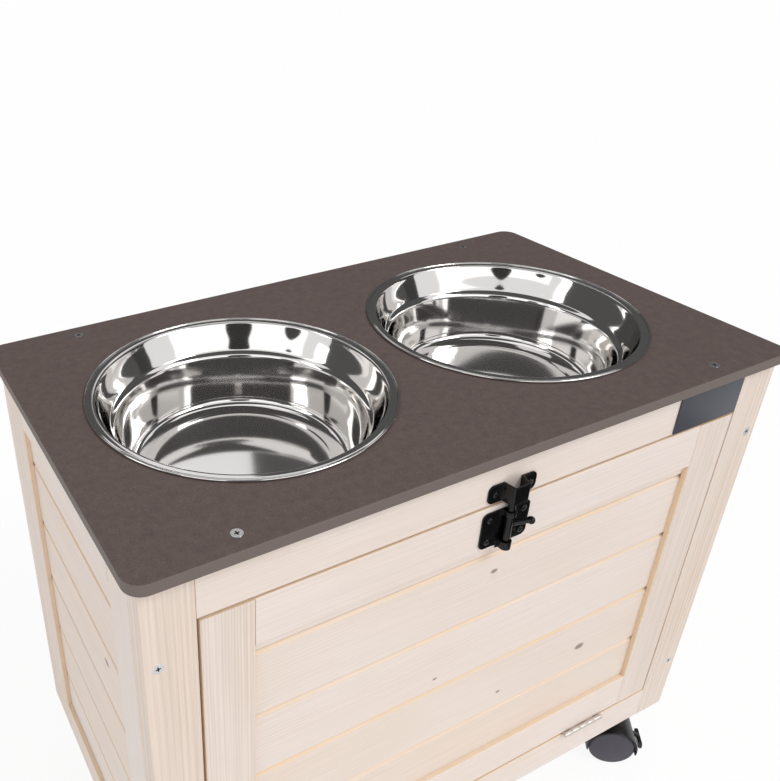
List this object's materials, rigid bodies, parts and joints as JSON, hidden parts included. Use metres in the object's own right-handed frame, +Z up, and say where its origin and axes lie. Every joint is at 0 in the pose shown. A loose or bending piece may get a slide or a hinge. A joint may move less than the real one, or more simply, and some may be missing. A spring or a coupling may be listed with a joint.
{
  "type": "elevated pet feeder",
  "caption": "Raised pet feeder: framed timber storage cabinet on swivel casters, with a drop-down front door, barrel bolt and lift-out steel bowls set in its top board.",
  "frame": {"origin": "on the floor, under the middle of the cabinet and its top board", "axes": "+X along the cabinet's length to its right end as seen from the door, +Y to the back, +Z up"},
  "size_m": [0.6, 0.3519, 0.5003],
  "materials": {
    "board": "dark grey-brown faced board, satin",
    "pine": "whitewashed pine, knotty, matt",
    "pine_boards": "whitewashed tongue and groove pine, matt",
    "floor_wood": "bare pine board, matt",
    "screw_steel": "bright zinc",
    "stainless": "mirror polished stainless steel",
    "black_enamel": "gloss black enamel",
    "hinge_steel": "bright zinc plated steel",
    "plate_grey": "blue-grey, satin, bare",
    "caster_steel": "zinc plated steel",
    "caster_hood": "dark moulded plastic, satin",
    "caster_wheel": "grey moulded plastic, satin"
  },
  "bodies": {
    "cabinet": {"top_board": "board", "body_screws": "screw_steel", "front_left_post": "pine", "front_right_post": "pine", "front_top_rail": "pine", "front_bottom_rail": "pine", "back_left_post": "pine", "back_right_post": "pine", "back_top_rail": "pine", "back_bottom_rail": "pine", "back_boards": "pine_boards", "left_front_stile": "pine", "left_back_stile": "pine", "left_top_rail": "pine", "left_bottom_rail": "pine", "left_boards": "pine_boards", "right_front_stile": "pine", "right_back_stile": "pine", "right_top_rail": "pine", "right_bottom_rail": "pine", "right_boards": "pine_boards", "floor_panel": "floor_wood", "name_plate": "plate_grey", "door_stop": "pine", "hinge_frame_halves": "hinge_steel", "latch_keeper": "black_enamel", "cabinet_hardware_screws": "screw_steel", "caster_plates": "caster_steel", "swivel_pins": "caster_steel", "caster_screws": "screw_steel"},
    "bowl_left": {"bowl_left": "stainless"},
    "bowl_right": {"bowl_right": "stainless"},
    "door": {"door_left_stile": "pine", "door_right_stile": "pine", "door_top_rail": "pine", "door_bottom_rail": "pine", "door_boards": "pine_boards", "hinge_door_leaves": "hinge_steel", "latch_plate": "black_enamel", "door_hardware_screws": "screw_steel"},
    "bolt": {"latch_bolt": "black_enamel", "latch_knob": "black_enamel"},
    "caster_front_left": {"hood_front_left": "caster_hood", "axle_front_left": "caster_steel"},
    "wheel_front_left_a": {"wheel_front_left_a": "caster_wheel"},
    "wheel_front_left_b": {"wheel_front_left_b": "caster_wheel"},
    "caster_front_right": {"hood_front_right": "caster_hood", "axle_front_right": "caster_steel"},
    "wheel_front_right_a": {"wheel_front_right_a": "caster_wheel"},
    "wheel_front_right_b": {"wheel_front_right_b": "caster_wheel"},
    "caster_back_left": {"hood_back_left": "caster_hood", "axle_back_left": "caster_steel"},
    "wheel_back_left_a": {"wheel_back_left_a": "caster_wheel"},
    "wheel_back_left_b": {"wheel_back_left_b": "caster_wheel"},
    "caster_back_right": {"hood_back_right": "caster_hood", "axle_back_right": "caster_steel"},
    "wheel_back_right_a": {"wheel_back_right_a": "caster_wheel"},
    "wheel_back_right_b": {"wheel_back_right_b": "caster_wheel"},
    "brake_front_left": {"brake_lever_front_left": "caster_hood"},
    "brake_front_right": {"brake_lever_front_right": "caster_hood"}
  },
  "joints": [
    {"name": "door_hinge", "type": "hinge", "parent": "cabinet", "child": "door", "pos_m": [0, -0.1657, 0.1], "axis": [1, 0, 0], "range_deg": [0, 100]},
    {"name": "bolt_slide", "type": "slide", "parent": "door", "child": "bolt", "axis": [0, 0, 1], "range_m": [-0.01, 0.0063]},
    {"name": "bowl_left_lift", "type": "slide", "parent": "cabinet", "child": "bowl_left", "axis": [0, 0, 1], "range_m": [0, 0.12]},
    {"name": "bowl_right_lift", "type": "slide", "parent": "cabinet", "child": "bowl_right", "axis": [0, 0, 1], "range_m": [0, 0.12]},
    {"name": "front_left_swivel", "type": "hinge", "parent": "cabinet", "child": "caster_front_left", "pos_m": [-0.222, -0.137, 0.045], "axis": [0, 0, 1], "continuous": true},
    {"name": "front_left_wheel_a_spin", "type": "hinge", "parent": "caster_front_left", "child": "wheel_front_left_a", "pos_m": [-0.20504, -0.14972, 0.0235], "axis": [0.6, 0.8, 0], "continuous": true},
    {"name": "front_left_wheel_b_spin", "type": "hinge", "parent": "caster_front_left", "child": "wheel_front_left_b", "pos_m": [-0.20504, -0.14972, 0.0235], "axis": [0.6, 0.8, 0], "continuous": true},
    {"name": "front_right_swivel", "type": "hinge", "parent": "cabinet", "child": "caster_front_right", "pos_m": [0.222, -0.137, 0.045], "axis": [0, 0, 1], "continuous": true},
    {"name": "front_right_wheel_a_spin", "type": "hinge", "parent": "caster_front_right", "child": "wheel_front_right_a", "pos_m": [0.23896, -0.14972, 0.0235], "axis": [0.6, 0.8, 0], "continuous": true},
    {"name": "front_right_wheel_b_spin", "type": "hinge", "parent": "caster_front_right", "child": "wheel_front_right_b", "pos_m": [0.23896, -0.14972, 0.0235], "axis": [0.6, 0.8, 0], "continuous": true},
    {"name": "back_left_swivel", "type": "hinge", "parent": "cabinet", "child": "caster_back_left", "pos_m": [-0.222, 0.137, 0.045], "axis": [0, 0, 1], "continuous": true},
    {"name": "back_left_wheel_a_spin", "type": "hinge", "parent": "caster_back_left", "child": "wheel_back_left_a", "pos_m": [-0.20504, 0.12428, 0.0235], "axis": [0.6, 0.8, 0], "continuous": true},
    {"name": "back_left_wheel_b_spin", "type": "hinge", "parent": "caster_back_left", "child": "wheel_back_left_b", "pos_m": [-0.20504, 0.12428, 0.0235], "axis": [0.6, 0.8, 0], "continuous": true},
    {"name": "back_right_swivel", "type": "hinge", "parent": "cabinet", "child": "caster_back_right", "pos_m": [0.222, 0.137, 0.045], "axis": [0, 0, 1], "continuous": true},
    {"name": "back_right_wheel_a_spin", "type": "hinge", "parent": "caster_back_right", "child": "wheel_back_right_a", "pos_m": [0.23896, 0.12428, 0.0235], "axis": [0.6, 0.8, 0], "continuous": true},
    {"name": "back_right_wheel_b_spin", "type": "hinge", "parent": "caster_back_right", "child": "wheel_back_right_b", "pos_m": [0.23896, 0.12428, 0.0235], "axis": [0.6, 0.8, 0], "continuous": true},
    {"name": "front_left_brake", "type": "hinge", "parent": "caster_front_left", "child": "brake_front_left", "pos_m": [-0.19188, -0.15959, 0.033], "axis": [0.6, 0.8, 0], "range_deg": [0, 10]},
    {"name": "front_right_brake", "type": "hinge", "parent": "caster_front_right", "child": "brake_front_right", "pos_m": [0.25212, -0.15959, 0.033], "axis": [0.6, 0.8, 0], "range_deg": [0, 10]}
  ]
}
